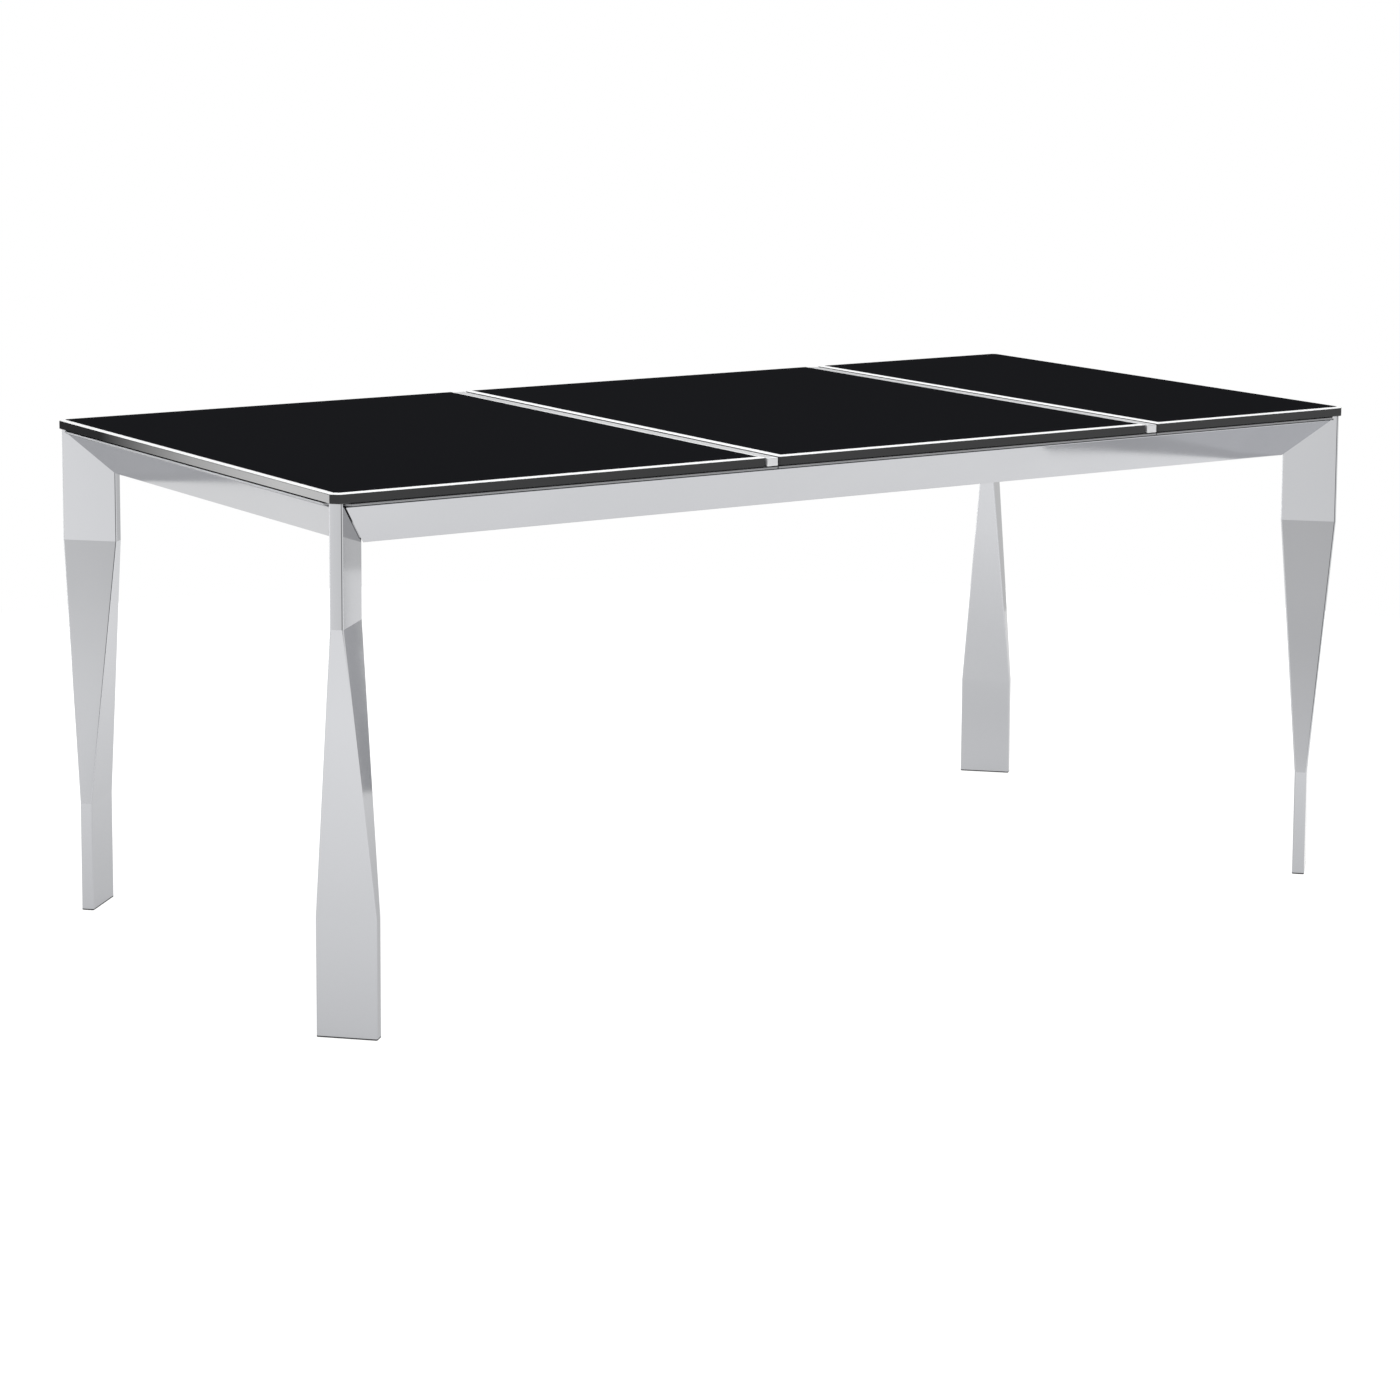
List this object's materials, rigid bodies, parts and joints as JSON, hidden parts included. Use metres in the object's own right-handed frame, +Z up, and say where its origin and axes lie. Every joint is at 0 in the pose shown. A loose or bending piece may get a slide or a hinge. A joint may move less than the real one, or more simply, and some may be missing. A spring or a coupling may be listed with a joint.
{
  "type": "extendable dining table",
  "caption": "Extendable dining table with a split dark glass top, sloping metal aprons and legs that turn from the corner diagonal to a foot across it.",
  "frame": {"origin": "on the floor under the centre of the closed table", "axes": "+X along the table towards the end that pulls out, -Y towards the front, +Z up"},
  "size_m": [1.8, 0.9, 0.75],
  "materials": {
    "black_glass": "opaque black, back-painted, with a polished bevel round the top",
    "polished_steel": "mirror polished and chromed steel",
    "rim_aluminium": "satin anodised edge, grey",
    "divider_aluminium": "bright satin",
    "frame_steel": "matt black powder coat",
    "slide_steel": "zinc plated",
    "black_plastic": "matt moulded"
  },
  "bodies": {
    "main_frame": {"glass_panel_left": "black_glass", "glass_panel_middle": "black_glass", "backing_plate_left": "rim_aluminium", "backing_plate_middle": "rim_aluminium", "divider_bar_left": "divider_aluminium", "divider_bar_right": "divider_aluminium", "leg_front_left": "polished_steel", "leg_back_left": "polished_steel", "glide_front_left": "black_plastic", "glide_back_left": "black_plastic", "leg_bracket_front_left": "frame_steel", "leg_bracket_back_left": "frame_steel", "apron_front": "polished_steel", "apron_back": "polished_steel", "apron_left": "polished_steel", "spacer_strip_front": "black_plastic", "spacer_strip_back": "black_plastic", "spacer_strip_left": "black_plastic", "main_rail_front": "frame_steel", "main_rail_back": "frame_steel", "left_end_beam": "frame_steel", "cross_beam_1": "frame_steel", "cross_beam_2": "frame_steel", "cross_beam_3": "frame_steel", "leaf_runner_front": "frame_steel", "leaf_runner_back": "frame_steel", "apron_bracket_front_1": "frame_steel", "apron_bracket_front_2": "frame_steel", "apron_bracket_back_1": "frame_steel", "apron_bracket_back_2": "frame_steel", "slide_outer_front": "slide_steel", "slide_outer_back": "slide_steel", "lock_pivot_front": "slide_steel", "lock_pivot_back": "slide_steel"},
    "end_frame": {"glass_panel_end": "black_glass", "backing_plate_end": "rim_aluminium", "leg_front_right": "polished_steel", "leg_back_right": "polished_steel", "glide_front_right": "black_plastic", "glide_back_right": "black_plastic", "leg_bracket_front_right": "frame_steel", "leg_bracket_back_right": "frame_steel", "apron_right": "polished_steel", "inner_apron_front": "polished_steel", "inner_apron_back": "polished_steel", "end_rail_front": "frame_steel", "end_rail_back": "frame_steel", "end_beam": "frame_steel", "slide_inner_front": "slide_steel", "slide_inner_back": "slide_steel", "lock_keeper_front": "slide_steel", "lock_keeper_back": "slide_steel"},
    "slide_member_front": {"slide_middle_front": "slide_steel"},
    "slide_member_back": {"slide_middle_back": "slide_steel"},
    "leaf": {"leaf_glass": "black_glass", "leaf_backing_plate": "rim_aluminium", "leaf_divider_bar": "divider_aluminium"},
    "lock_front": {"lock_lever_front": "black_plastic"},
    "lock_back": {"lock_lever_back": "black_plastic"}
  },
  "joints": [
    {"name": "end_frame_slide", "type": "slide", "parent": "main_frame", "child": "end_frame", "axis": [1, 0, 0], "range_m": [0, 0.4]},
    {"name": "slide_member_front_slide", "type": "slide", "parent": "main_frame", "child": "slide_member_front", "axis": [1, 0, 0], "range_m": [0, 0.2]},
    {"name": "slide_member_back_slide", "type": "slide", "parent": "main_frame", "child": "slide_member_back", "axis": [1, 0, 0], "range_m": [0, 0.2]},
    {"name": "leaf_slide", "type": "slide", "parent": "main_frame", "child": "leaf", "axis": [1, 0, 0], "range_m": [0, 0.33]},
    {"name": "lock_front_hinge", "type": "hinge", "parent": "main_frame", "child": "lock_front", "pos_m": [0.487, -0.262, 0.7255], "axis": [0, 0, 1], "range_deg": [-90, 0]},
    {"name": "lock_back_hinge", "type": "hinge", "parent": "main_frame", "child": "lock_back", "pos_m": [0.487, 0.262, 0.7255], "axis": [0, 0, 1], "range_deg": [0, 90]}
  ],
  "couplings": [
    {"joint": "slide_member_front_slide", "follows": "end_frame_slide", "ratio": 0.5},
    {"joint": "slide_member_back_slide", "follows": "end_frame_slide", "ratio": 0.5}
  ]
}
